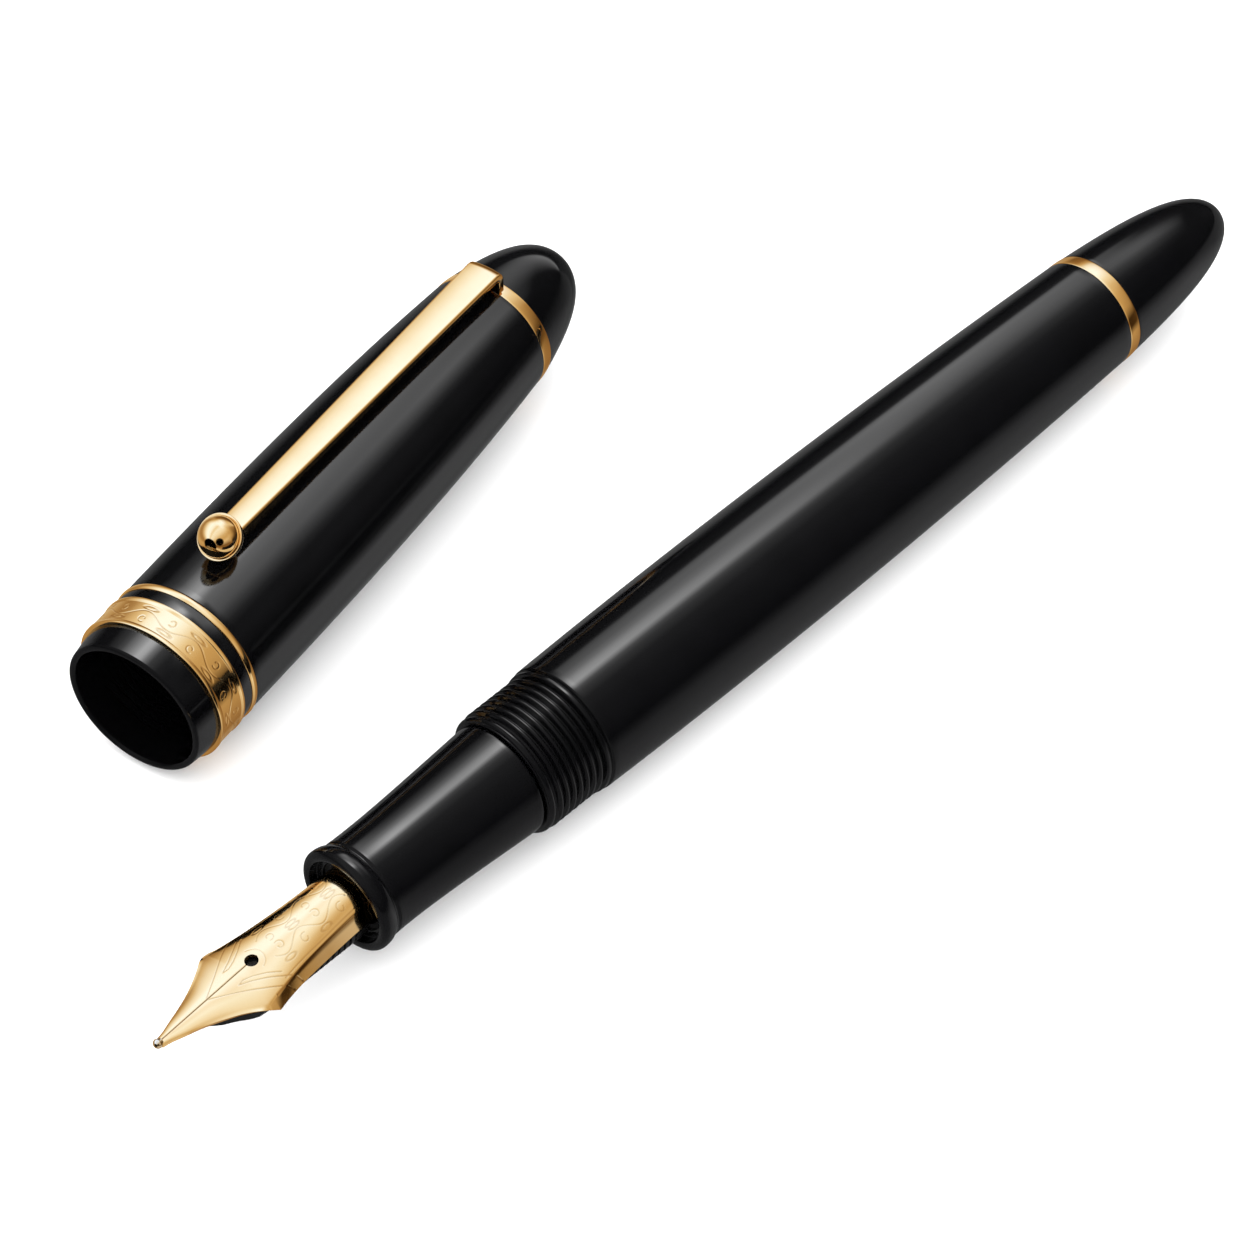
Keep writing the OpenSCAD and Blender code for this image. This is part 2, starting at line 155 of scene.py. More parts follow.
def ringFaces(rings, loop):
    faces = []
    count = len(rings[0])
    pairs = list(zip(rings, rings[1:])) + ([(rings[-1], rings[0])] if loop else [])
    for front, back in pairs:
        for i in range(count):
            k = (i + 1) % count
            corners = [front[i], front[k], back[k], back[i]]
            corners = [c for n, c in enumerate(corners) if c not in corners[:n]]
            if len(corners) > 2:
                faces.append(corners)
    return faces


def turnedPiece(name, outline, place, body, nodes, material,
                loop=True, turns=256, radiusAt=None):
    points, rings = turnedPoints(outline, turns, radiusAt)
    return finishPiece(name, points, ringFaces(rings, loop), place, body, nodes, material)


# The depth of an engraving at each point, for its material to read
# On the nib this value also holds painted dark lines: a reflection along the crease and shade along the slit
def storeCutAndPaintedShade(piece, values):
    attribute = piece.data.attributes.new("cut", "FLOAT", "POINT")
    attribute.data.foreach_set("value", values.astype(np.float32))


# Materials
def newMaterial(name, colour, metal, rough, **sockets):
    material = bpy.data.materials.new(name)
    material.use_nodes = True
    tree = material.node_tree
    shader = tree.nodes["Principled BSDF"]
    shader.inputs["Base Color"].default_value = (*colour, 1)
    shader.inputs["Metallic"].default_value = metal
    shader.inputs["Roughness"].default_value = rough
    for key, value in sockets.items():
        shader.inputs[key].default_value = value
    return material, tree, shader


def objectNoise(tree, scale, detail=3.0, stretch=(1, 1, 1)):
    place = tree.nodes.new("ShaderNodeTexCoord")
    mapping = tree.nodes.new("ShaderNodeMapping")
    mapping.inputs["Scale"].default_value = stretch
    noise = tree.nodes.new("ShaderNodeTexNoise")
    noise.inputs["Scale"].default_value = scale
    noise.inputs["Detail"].default_value = detail
    tree.links.new(place.outputs["Object"], mapping.inputs["Vector"])
    tree.links.new(mapping.outputs["Vector"], noise.inputs["Vector"])
    return noise.outputs["Fac"]


def spread(tree, value, low, high, socket):
    toRange = tree.nodes.new("ShaderNodeMapRange")
    toRange.inputs["From Min"].default_value = 0.3
    toRange.inputs["From Max"].default_value = 0.7
    toRange.inputs["To Min"].default_value = low
    toRange.inputs["To Max"].default_value = high
    tree.links.new(value, toRange.inputs["Value"])
    tree.links.new(toRange.outputs["Result"], socket)


def addBump(tree, shader, value, strength, depth):
    bump = tree.nodes.new("ShaderNodeBump")
    bump.inputs["Strength"].default_value = strength
    bump.inputs["Distance"].default_value = depth
    tree.links.new(value, bump.inputs["Height"])
    tree.links.new(bump.outputs["Normal"], shader.inputs["Normal"])


# Two colours mixed by a noise
def tint(tree, shader, value, dark, light):
    mix = tree.nodes.new("ShaderNodeMix")
    mix.data_type = "RGBA"
    mix.inputs["A"].default_value = (*dark, 1)
    mix.inputs["B"].default_value = (*light, 1)
    tree.links.new(value, mix.inputs["Factor"])
    tree.links.new(mix.outputs["Result"], shader.inputs["Base Color"])


resinLook = {"dark": (0.0008, 0.0008, 0.001), "light": (0.002, 0.002, 0.0024), "rough": (0.07, 0.1)}


def makeResin():
    material, tree, shader = newMaterial("blackResin", resinLook["dark"], 0, 0.08, IOR=1.5)
    cloud = objectNoise(tree, 260, 4)
    tint(tree, shader, cloud, resinLook["dark"], resinLook["light"])
    spread(tree, objectNoise(tree, 900, 5), *resinLook["rough"], shader.inputs["Roughness"])
    addBump(tree, shader, objectNoise(tree, 420, 2), 0.05, 0.00002)
    return material


goldLook = {"deep": (0.84, 0.57, 0.26), "bright": (0.9, 0.64, 0.32), "rough": (0.06, 0.11)}


def makeGold(name, look):
    material, tree, shader = newMaterial(name, look["bright"], 1, 0.1)
    tint(tree, shader, objectNoise(tree, 300, 3), look["deep"], look["bright"])
    spread(tree, objectNoise(tree, 2400, 4, (0.15, 1, 1)), *look["rough"], shader.inputs["Roughness"])
    addBump(tree, shader, objectNoise(tree, 700, 2), 0.05, 0.00001)
    return material


# Engraved gold reads how deep the graver went, and the painted shade lines, from the mesh's own "cut" value
# The groove colour darkens the engraving and also paints the nib's crease reflection and slit shade
engravedLookWithPaintedShade = {
    "deep": (0.85, 0.59, 0.28), "bright": (0.91, 0.66, 0.34), "groove": (0.42, 0.21, 0.06),
    "rough": (0.08, 0.14), "grooveShare": 0.7,
}


def makeEngravedGoldWithPaintedShade(name, look):
    material, tree, shader = newMaterial(name, look["bright"], 1, 0.12)
    tint(tree, shader, objectNoise(tree, 300, 3), look["deep"], look["bright"])
    plain = shader.inputs["Base Color"].links[0].from_socket
    cut = tree.nodes.new("ShaderNodeAttribute")
    cut.attribute_name = "cut"
    share = tree.nodes.new("ShaderNodeMath")
    share.operation = "MULTIPLY"
    share.inputs[1].default_value = look["grooveShare"]
    mix = tree.nodes.new("ShaderNodeMix")
    mix.data_type = "RGBA"
    mix.inputs["B"].default_value = (*look["groove"], 1)
    tree.links.new(cut.outputs["Fac"], share.inputs[0])
    tree.links.new(share.outputs["Value"], mix.inputs["Factor"])
    tree.links.new(plain, mix.inputs["A"])
    tree.links.new(mix.outputs["Result"], shader.inputs["Base Color"])
    spread(tree, objectNoise(tree, 2400, 4, (0.15, 1, 1)), *look["rough"], shader.inputs["Roughness"])
    return material


def makePlain(name, dark, light, metal, rough, grain, bump):
    material, tree, shader = newMaterial(name, light, metal, rough[0])
    tint(tree, shader, objectNoise(tree, grain, 4), dark, light)
    spread(tree, objectNoise(tree, grain * 2, 4), *rough, shader.inputs["Roughness"])
    addBump(tree, shader, objectNoise(tree, grain * 3, 3), bump, 0.00002)
    return material


def makeClear():
    material, tree, shader = newMaterial("clearPlastic", (0.93, 0.96, 0.98), 0, 0.05, IOR=1.49)
    shader.inputs["Transmission Weight"].default_value = 1
    spread(tree, objectNoise(tree, 700, 3), 0.03, 0.09, shader.inputs["Roughness"])
    return material


resin = makeResin()
gold = makeGold("goldPlate", goldLook)
engravedGoldWithPaintedShade = makeEngravedGoldWithPaintedShade("engravedGoldWithPaintedShade", engravedLookWithPaintedShade)
pointMetal = makePlain("pointMetal", (0.66, 0.56, 0.42), (0.8, 0.7, 0.55), 1, (0.1, 0.2), 1500, 0.05)
feedBlack = makePlain("feedBlack", (0.002, 0.002, 0.002), (0.005, 0.005, 0.005), 0, (0.25, 0.36), 900, 0.12)
innerPlastic = makePlain("innerPlastic", (0.003, 0.003, 0.003), (0.007, 0.007, 0.008), 0, (0.35, 0.5),
                         700, 0.1)
steel = makePlain("turnedSteel", (0.42, 0.42, 0.43), (0.62, 0.62, 0.63), 1, (0.2, 0.34), 1100, 0.1)
rubber = makePlain("sealRubber", (0.02, 0.02, 0.022), (0.045, 0.045, 0.048), 0, (0.55, 0.75), 1400, 0.25)
rodPlastic = makePlain("rodPlastic", (0.62, 0.63, 0.65), (0.78, 0.79, 0.81), 0, (0.35, 0.5), 800, 0.08)
clearPlastic = makeClear()
print("materials made")

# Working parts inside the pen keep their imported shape
innerFinish = {
    "tenon_sleeve": steel, "feed": feedBlack, "nib_housing": innerPlastic, "ink_post": innerPlastic,
    "converter_mouth": innerPlastic, "converter_tube": clearPlastic, "converter_collar": gold,
    "piston_seal": rubber, "piston_rod": rodPlastic, "drive_nut": steel, "converter_knob": resin,
    "inner_cap": innerPlastic, "crown_screw": steel,
}
for nodeName, finish in innerFinish.items():
    node = frame["nodes"][nodeName]
    node.data.materials.clear()
    node.data.materials.append(finish)


# Grip section: a flared lip round the recess that the nib comes out of, a waist, and a flare to the barrel
grip = {
    "lip": 5.02, "lipAt": 0.6, "groove": 1.8, "grooveEnd": 2.25, "waist": 4.6, "end": 18.8,
    "endRadius": 5.35, "recess": 4.1, "recessDepth": 1.0, "housing": 3.4, "socket": 3.8,
    "socketFrom": 16.6, "easing": 0.12,
}


def makeGrip(g):
    lipTop = (g["lipAt"], g["lip"])
    grooveTop = (g["groove"], g["waist"] + 0.1)
    waistTop = (g["grooveEnd"], g["waist"] + 0.12)
    outline = curve((0.15, g["recess"]), (-0.04, g["recess"] + 0.3), (-0.02, g["lip"] - 0.05), lipTop, 16)
    outline += curve(lipTop, (1.15, g["lip"]), (1.5, g["lip"] - 0.1), grooveTop, 10)[1:]
    outline += curve(grooveTop, (1.92, g["waist"] - 0.02), (2.06, g["waist"]), waistTop, 6)[1:]
    outline += curve(waistTop, (6, g["waist"] - 0.04), (13, g["endRadius"] - 0.3),
                     (g["end"] - 0.25, g["endRadius"]), 40)[1:]
    outline += [(g["end"], g["endRadius"] - 0.2)]
    outline += [(g["end"], g["socket"]), (g["socketFrom"], g["socket"]), (g["socketFrom"], g["housing"]),
                (g["recessDepth"], g["housing"]), (g["recessDepth"], g["recess"])]
    return turnedPiece("gripSection", eased(outline, g["easing"]), penPlace, "section", ["grip_section"],
                       resin)


makeGrip(grip)

# Barrel: a collar, the cap's threads, a second collar and the swelling flank, round a stepped bore
barrelShape = {
    "front": 18.85, "bore": 4.65, "boreTo": 25.5, "inside": 4.2, "insideTo": 86, "spigot": 3.6,
    "crest": 5.95, "root": 5.55, "firstCrest": 19.85, "crests": 7, "pitch": 0.8,
    "collar": 6.1, "flankFrom": 26.3, "flankRadius": 6.2, "swell": [(48, 6.66), (72, 6.32)],
    "ring": 94.6, "ringRadius": 5.42, "easing": 0.1,
}


def makeBarrel(b):
    outline = [(b["front"], b["bore"]), (b["front"], b["root"] - 0.05)]
    outline += arc((b["front"] + 0.45, b["root"] - 0.05), 0.35, 180, 0, 12)
    for i in range(b["crests"]):
        start = b["firstCrest"] + i * b["pitch"]
        outline += [(start, b["root"]), (start + 0.2, b["crest"]), (start + 0.45, b["crest"]),
                    (start + 0.65, b["root"])]
    edge = b["flankFrom"]
    outline += [(edge - 0.85, b["root"]), (edge - 0.7, b["collar"]), (edge - 0.3, b["collar"]),
                (edge - 0.15, b["collar"] - 0.2)]
    outline += curve((edge, b["flankRadius"]), *b["swell"], (b["ring"], b["ringRadius"]), 90)
    outline += [(b["ring"], b["spigot"]), (b["insideTo"], b["spigot"]), (b["insideTo"], b["inside"]),
                (b["boreTo"], b["inside"]), (b["boreTo"], b["bore"])]
    return turnedPiece("barrelBody", eased(outline, b["easing"]), penPlace, "barrel", ["barrel"],
                       resin)


makeBarrel(barrelShape)

tail = {
    "from": 94.6, "width": 1.3, "radius": 5.42, "proud": 0.05, "step": 0.07, "end": 112.75,
    "taper": [(104.7, 4.7), (112.75, 3.8)], "spigotFrom": 88, "spigot": 3.6, "easing": 0.06,
}


def makeTail(t):
    ringEnd = t["from"] + t["width"]
    low = t["radius"] - t["step"]
    outline = [(t["from"], t["spigot"]), (t["from"], t["radius"])]
    outline += curve((t["from"], t["radius"]), (t["from"] + 0.05, t["radius"] + t["proud"]),
                     (ringEnd - 0.05, low + t["proud"]), (ringEnd, low), 12)[1:]
    outline += [(ringEnd, t["spigot"])]
    turnedPiece("tailRing", eased(outline, t["easing"]), penPlace, "barrel", ["tail_ring"],
                gold)
    outline = [(t["spigotFrom"], 0), (t["spigotFrom"], t["spigot"]), (ringEnd, t["spigot"])]
    outline += curve((ringEnd, low), *t["taper"], (t["end"], 0), 64)
    turnedPiece("tailCone", eased(outline, t["easing"], loop=False), penPlace, "barrel", ["tail_cone"],
                resin, loop=False)


makeTail(tail)
print("pen body made")

# Nib: a sheet with an arched top and folded sides. Its rows are places along the pen, from tip to tail.
# Each row: place, height of the ridge, half width and height of the crease, half width and height of the
# edge, and the height that the sheet's thickness aims at.
nibRows = {
    "tines": [
        (-20.9, 0.95, 0.36, 0.83, 0.42, 0.75, -8), (-20, 1.02, 0.54, 0.86, 0.6, 0.78, -8),
        (-18.9, 1.13, 0.86, 0.9, 0.95, 0.8, -8), (-17.5, 1.27, 1.24, 0.92, 1.38, 0.82, -7),
        (-15.5, 1.46, 1.97, 0.9, 2.18, 0.8, -6), (-13.9, 1.61, 2.74, 0.94, 3.02, 0.84, -5),
        (-12.6, 1.74, 3.5, 0.84, 3.84, 0.7, -4), (-12, 1.8, 3.68, 0.82, 4.1, 0.4, -3),
    ],
    "body": [
        (-11.3, 1.86, 3.56, 0.9, 4.3, 0, -2), (-10.2, 1.97, 3.38, 1.0, 3.97, -0.1, -1.4),
        (-8, 2.2, 3.06, 1.15, 3.5, -0.25, -0.6), (-4.5, 2.55, 2.72, 1.3, 3.13, -0.28, -0.2),
        (-0.5, 2.9, 2.51, 1.45, 2.9, -0.2, 0), (8, 2.9, 2.51, 1.45, 2.9, -0.2, 0),
    ],
}
nibShape = {
    "thickness": 0.3, "hole": -10.4, "holeRadius": 0.6, "slit": 0.05, "rootFrom": 0.2, "step": 0.062,
    "rootStep": 0.6, "across": 66, "flankSteps": 14, "fold": 0.14, "foldSteps": 7, "underEvery": 6,
    "cutDepth": 0.022,
}


# A smooth curve through each column of a table, read at places x
def throughRows(rows, x):
    table = np.array(rows, float)
    place = table[:, 0]
    spot = np.clip(np.searchsorted(place, x) - 1, 0, len(place) - 2)
    gap = place[spot + 1] - place[spot]
    t = np.clip((x - place[spot]) / gap, 0, 1)[:, None]
    slopes = np.gradient(table[:, 1:], place, axis=0)
    a, b = table[spot, 1:], table[spot + 1, 1:]
    leave, arrive = slopes[spot] * gap[:, None], slopes[spot + 1] * gap[:, None]
    ends = (2 * t**3 - 3 * t**2 + 1) * a + (3 * t**2 - 2 * t**3) * b
    return ends + (t**3 - 2 * t**2 + t) * leave + (t**3 - t**2) * arrive


# The row at each place x. The shoulder between the two tables is straight.
def nibStation(x):
    tines, body = nibRows["tines"], nibRows["body"]
    x = np.atleast_1d(x)
    rows = np.where((x <= tines[-1][0])[:, None], throughRows(tines, x), throughRows(body, x))
    between = np.clip((x - tines[-1][0]) / (body[0][0] - tines[-1][0]), 0, 1)[:, None]
    middle = np.array(tines[-1][1:]) * (1 - between) + np.array(body[0][1:]) * between
    inGap = (x > tines[-1][0]) & (x < body[0][0])
    return np.where(inGap[:, None], middle, rows)


# How far from a polyline of (x, y) points each place is
def lineDistance(x, y, points):
    best = np.full(np.shape(x), 1e9)
    for (ax, ay), (bx, by) in zip(points, points[1:]):
        dx, dy = bx - ax, by - ay
        t = np.clip(((x - ax) * dx + (y - ay) * dy) / (dx * dx + dy * dy), 0, 1)
        best = np.minimum(best, np.hypot(x - ax - t * dx, y - ay - t * dy))
    return best


# 1 in the middle of a cut line and 0 clear of it
def grooveOf(distance, width):
    return np.clip(1.4 - distance / width, 0, 1)


# A generic running vine: a waving stem with a curl in each hollow and a leaf on each crest
def vine(along, across, period, reach, width):
    wave = 2 * math.pi * along / period
    swing = reach * 0.45
    slope = swing * 2 * math.pi / period * np.cos(wave)
    stem = np.abs(across - swing * np.sin(wave)) / np.sqrt(1 + slope**2)
    cut = grooveOf(stem, width)
    half = period / 2
    number = np.floor(along / half)
    side = np.where(np.mod(number, 2) == 0, 1.0, -1.0)
    dx, dy = along - (number + 0.5) * half, across + side * reach * 0.42
    turn = np.arctan2(dy, dx * side)
    curl = np.hypot(dx, dy)
    spiral = np.abs(curl - reach * (0.3 - 0.035 * turn))
    cut = np.maximum(cut, np.where(turn > -2.2, grooveOf(spiral, width), 0))
    leafX, leafY = dx / (period * 0.13), (across - side * reach * 0.78) / (reach * 0.17)
    leaf = np.abs(np.hypot(leafX, leafY) - 1) * reach * 0.17
    return np.maximum(cut, grooveOf(leaf, width))


# Lines cut in the nib: two ribbons that cross the tines, an outline that follows the folds, and a vine
# It also sets painted dark lines: a reflection along each crease and shade along the slit between the tines
engraving = {
    "frontRibbon": [(-15.6, 0.0), (-13.5, 1.2), (-11.5, 2.45), (-10.25, 3.15), (-8.9, 3.7)],
    "rearRibbon": [(-12.75, 0.95), (-11.7, 1.42), (-10.5, 2.08), (-9.4, 2.75), (-7.8, 3.5)],
    "rearRibbonBack": [(-12.75, 0.95), (-12.2, 0.85), (-11.4, 1.12), (-10.3, 1.72), (-9.3, 2.4)],
    "line": 0.055, "ribbonShare": 0.7, "frameInset": 0.3, "frameFrom": -9.4, "frameShare": 0.5,
    "vineFrom": -8.8, "vineTo": -0.6, "vineMiddle": 1.1, "vinePeriod": 4.1, "vineReach": 1.15,
    "vineInset": 0.2, "vineShare": 0.45, "paintedCreaseReflectionFrom": -10.9, "paintedCreaseReflection": 1.3, "ringScale": 1.9,
    "ringFrom": 0.3, "ringShare": 0.4, "paintedSlitShade": 0.07,
}


# How deep the lines go at each place, with the half width of the crease there
# It also gives the painted dark lines: a reflection along the crease and shade along the slit
def nibCutsAndPaintedShade(x, y, crease):
    e, width = engraving, engraving["line"]
    side = np.abs(y)
    cut = np.zeros(np.shape(x))
    for name in ("frontRibbon", "rearRibbon", "rearRibbonBack"):
        cut = np.maximum(cut, grooveOf(lineDistance(x, side, e[name]), width) * e["ribbonShare"])
    frameY = crease - e["frameInset"]
    frameLine = np.where(x > e["frameFrom"], grooveOf(np.abs(side - frameY), width), 0)
    cut = np.maximum(cut, frameLine * e["frameShare"])
    inner = (x > e["vineFrom"]) & (x < e["vineTo"]) & (side < frameY - e["vineInset"])
    along, across = x - e["vineFrom"], side - e["vineMiddle"]
    vineLine = np.where(inner, vine(along, across, e["vinePeriod"], e["vineReach"], width), 0)
    cut = np.maximum(cut, vineLine * e["vineShare"])
    # Painted dark reflection along the crease, over a shallow real groove
    paintedCreaseReflection = grooveOf(np.abs(side - crease), width * e["paintedCreaseReflection"])
    cut = np.maximum(cut, np.where(x > e["paintedCreaseReflectionFrom"], paintedCreaseReflection, 0))
    ringGap = np.abs(np.hypot(x - nibShape["hole"], y) - nibShape["holeRadius"] * e["ringScale"])
    behind = x > nibShape["hole"] + e["ringFrom"]
    cut = np.maximum(cut, np.where(behind, grooveOf(ringGap, width), 0) * e["ringShare"])
    # Painted shade along the slit between the tines
    return np.maximum(cut, np.where(x < nibShape["hole"], grooveOf(side, e["paintedSlitShade"]), 0))


# One half of the nib's outside at a station, from the slit over the arch and down the folded side
def nibLine(n, row, gap):
    top, w, low, edgeW, edgeZ, aim = row
    rise = top - low
    bend = (w * w + rise * rise) / (2 * rise)
    fold = min(n["fold"], w * 0.2)
    archY = np.linspace(gap, w - fold, n["across"])
    archZ = top - bend + np.sqrt(bend**2 - archY**2)
    flank = np.array([edgeW - w, edgeZ - low])
    flankLong = np.linalg.norm(flank)
    foldOut = min(fold, flankLong * 0.35)
    cornerIn = np.array([archY[-1], archZ[-1]])
    cornerOut = np.array([w, low]) + flank / flankLong * foldOut
    t = np.linspace(0, 1, n["foldSteps"])[1:-1, None]
    folded = (1 - t) ** 2 * cornerIn + 2 * t * (1 - t) * np.array([w, low]) + t * t * cornerOut
    s = np.linspace(0, 1, n["flankSteps"])[:, None]
    side = cornerOut + (np.array([edgeW, edgeZ]) - cornerOut) * s
    return np.concatenate([np.stack([archY, archZ], 1), folded, side])


# Places along the nib: close together in front, and exact round the breather hole
def nibPlaces(n):
    front, back = nibRows["tines"][0][0], nibRows["body"][-1][0]
    hole, radius = n["hole"], n["holeRadius"]
    places = list(np.arange(front, n["rootFrom"], n["step"]))
    places += list(np.arange(n["rootFrom"], back, n["rootStep"])) + [back]
    places = [s for s in places if abs(s - hole) > radius + n["step"] * 0.4]
    places += [hole - radius * math.cos(a) for a in np.linspace(0, math.pi, 33)]
    return np.array(sorted(places))


def makeNib(n):
    stations = nibPlaces(n)
    rows = nibStation(stations)
    hole, radius = n["hole"], n["holeRadius"]
    gapHalf = np.where(stations < hole, n["slit"] / 2, 0)
    inHole = np.clip(radius**2 - (stations - hole) ** 2, 0, None)
    gapHalf = np.maximum(gapHalf, np.sqrt(inHole))
    points, faces = [], []
    for mirror in (1, -1):
        topRows, lowRows = [], []
        for x, row, gap in zip(stations, rows, gapHalf):
            line = nibLine(n, row, gap)
            depth = nibCutsAndPaintedShade(np.full(len(line), x), line[:, 0], row[1])
            depth[-3:] = 0
            toAim = np.array([0, row[5]]) - line
            toAim /= np.linalg.norm(toAim, axis=1)[:, None]
            inside = line + toAim * n["thickness"]
            under = np.concatenate([inside[:: n["underEvery"]], inside[-1:]])
            line = line + toAim * (depth * n["cutDepth"])[:, None]
            for made, half in ((topRows, line), (lowRows, under)):
                made.append(list(range(len(points), len(points) + len(half))))
                points.extend((x, mirror * p[0], p[1]) for p in half)
        for i in range(len(stations) - 1):
            for row in (topRows, lowRows):
                a, b = row[i], row[i + 1]
                faces.extend((a[k], a[k + 1], b[k + 1], b[k]) for k in range(len(a) - 1))
            faces.append((topRows[i][-1], topRows[i + 1][-1], lowRows[i + 1][-1], lowRows[i][-1]))
            if gapHalf[i] > 0 or gapHalf[i + 1] > 0:
                faces.append((topRows[i][0], topRows[i + 1][0], lowRows[i + 1][0], lowRows[i][0]))
        for end in (0, -1):
            faces.append(topRows[end] + lowRows[end][::-1])
    piece = finishPiece("nib", points, faces, penPlace, "section", ["nib"], engravedGoldWithPaintedShade,
                        sharp=50)
    spots = np.array([v.co for v in piece.data.vertices])
    home = (spots - np.array(penPlace.translation)) / mm
    crease = nibStation(home[:, 0])[:, 1]
    storeCutAndPaintedShade(piece, nibCutsAndPaintedShade(home[:, 0], home[:, 1], crease))
    return piece


makeNib(nibShape)

tip = {"radius": 0.45, "reach": 21.45, "height": 0.8, "tineEnd": -20.9, "root": 0.25}


def makeTip(t):
    middle = t["radius"] - t["reach"]
    root = t["tineEnd"] + t["root"]
    outline = [(root, 0)]
    outline += curve((root, 0.3), (t["tineEnd"] + 0.1, 0.33), (t["tineEnd"], 0.4),
                     (middle, t["radius"]), 6)
    outline += arc((middle, 0), t["radius"], 90, 180, 16)[1:]
    outline[-1] = (-t["reach"], 0)
    lifted = penPlace @ Matrix.Translation((0, 0, t["height"]))
    return turnedPiece("nibPoint", outline, lifted, "section", ["nib_tip"], pointMetal,
                       loop=False, turns=64)


makeTip(tip)
print("nib made")

# Cap tube: a plain mouth with shallow grooves inside, seats for its rings, and a flank up to the crown
cap = {
    "mouth": 6.85, "bore": 6.15, "boreTo": 13, "bandFrom": 2.6, "bandTo": 6, "seat": 7.05, "gap": 7.32,
    "thinFrom": 7.25, "thinTo": 7.9, "flank": 7.37, "swell": [(28, 7.48), (42, 7.1)],
    "crownFrom": 53.35, "crownRadius": 6.2, "crownBore": 4.8, "liner": 5.5, "linerTo": 50.5,
    "groove": 3.2, "grooves": 5, "grooveDepth": 0.07, "pitch": 0.8, "easing": 0.08,
}


def makeCapTube(c):
    outline = [(0.15, c["bore"] + 0.05), (0, c["bore"] + 0.2)]
    outline += arc((0.3, c["mouth"] - 0.3), 0.3, 180, 90, 8)
    outline += [(c["bandFrom"], c["mouth"] + 0.3), (c["bandFrom"], c["seat"]), (c["bandTo"], c["seat"]),
                (c["bandTo"], c["gap"]), (c["thinFrom"], c["gap"]), (c["thinFrom"], c["seat"]),
                (c["thinTo"], c["seat"])]
    outline += curve((c["thinTo"], c["flank"]), *c["swell"], (c["crownFrom"], c["crownRadius"]), 80)
    outline += [(c["crownFrom"], c["crownBore"]), (c["linerTo"], c["crownBore"]), (c["linerTo"], c["liner"]),
                (c["boreTo"], c["liner"]), (c["boreTo"], c["bore"])]
    for i in range(c["grooves"] - 1, -1, -1):
        start = c["groove"] + i * c["pitch"]
        outline += [(start + 0.4, c["bore"]), (start + 0.2, c["bore"] + c["grooveDepth"]),
                    (start, c["bore"])]
    outline += [(0.4, c["bore"])]
    return turnedPiece("capTube", eased(outline, c["easing"]), capPlace, "cap", ["cap_tube"],
                       resin)


makeCapTube(cap)

# Wide band: raised rims round a field with the vine cut into it
band = {
    "radius": 7.5, "field": 7.42, "rim": 0.35, "bevel": 0.08, "repeats": 9, "cutDepth": 0.05,
    "line": 0.06, "share": 0.5, "spread": 0.86, "rows": 50, "turns": 900,
}


def makeBand(b):
    start, end = cap["bandFrom"], cap["bandTo"]
    fieldFrom, fieldTo = start + b["rim"] + 0.1, end - b["rim"] - 0.1
    middle, reach = (fieldFrom + fieldTo) / 2, (fieldTo - fieldFrom) / 2
    bevel, rimStep = b["bevel"], (0.04, 0.03)
    outline = [(start, cap["seat"]), (start, b["radius"] - bevel)]
    outline += arc((start + bevel, b["radius"] - bevel), bevel, 180, 90, 4)[1:]
    outline += [(start + b["rim"], b["radius"]), (start + b["rim"] + rimStep[0], b["radius"] - rimStep[1])]
    outline += [(s, b["field"]) for s in np.linspace(fieldFrom, fieldTo, b["rows"])]
    outline += [(end - b["rim"] - rimStep[0], b["radius"] - rimStep[1]), (end - b["rim"], b["radius"])]
    outline += arc((end - bevel, b["radius"] - bevel), bevel, 90, 0, 4)
    outline += [(end, cap["seat"])]
    period = 2 * math.pi * b["field"] / b["repeats"]

    def bandCut(along, angles):
        if not fieldFrom + 0.02 < along < fieldTo - 0.02:
            return np.zeros(len(angles))
        across = np.full(len(angles), along - middle)
        return vine(angles * b["field"], across, period, reach * b["spread"], b["line"]) * b["share"]

    piece = turnedPiece("capBand", outline, capPlace, "cap", ["cap_band"], engravedGoldWithPaintedShade,
                        turns=b["turns"], radiusAt=lambda s, r, a: r - b["cutDepth"] * bandCut(s, a))
    angles = np.linspace(0, 2 * math.pi, b["turns"], endpoint=False)
    storeCutAndPaintedShade(piece, np.concatenate([bandCut(along, angles) for along, radius in outline]))
    return piece


makeBand(band)


# A ring on the cap, from one place to another, with its seat, its fullest radius and its edges' radii
def makeRing(name, node, start, end, low, high, radiusFrom, radiusTo):
    ease = 0.06
    outline = [(start, low), (start, radiusFrom)]
    outline += curve((start, radiusFrom), (start + ease, high), (end - ease, high + radiusTo - radiusFrom),
                     (end, radiusTo), 12)[1:]
    outline += [(end, low)]
    return turnedPiece(name, eased(outline, ease), capPlace, "cap", [node], gold)


makeRing("capThinRing", "cap_thin_ring", cap["thinFrom"], cap["thinTo"], cap["seat"], 7.49, 7.35, 7.37)

crown = {
    "ringWidth": 1.3, "proud": 0.06, "step": 0.12, "length": 64.5, "dome": [(60.2, 5), (64.5, 3.7)],
    "spigotFrom": 51.6, "screw": 1.5, "screwTo": 58,
}


def makeCrown(c):
    start = cap["crownFrom"]
    end = start + c["ringWidth"]
    low = cap["crownRadius"] - c["step"]
    makeRing("crownRing", "crown_ring", start, end, cap["crownBore"], cap["crownRadius"] + c["proud"],
             cap["crownRadius"], low)
    outline = [(c["spigotFrom"], c["screw"]), (c["spigotFrom"], cap["crownBore"]), (end, cap["crownBore"])]
    outline += curve((end, low), *c["dome"], (c["length"], 0), 64)
    outline += [(c["screwTo"], 0), (c["screwTo"], c["screw"])]
    return turnedPiece("crown", outline, capPlace, "cap", ["crown"], resin)


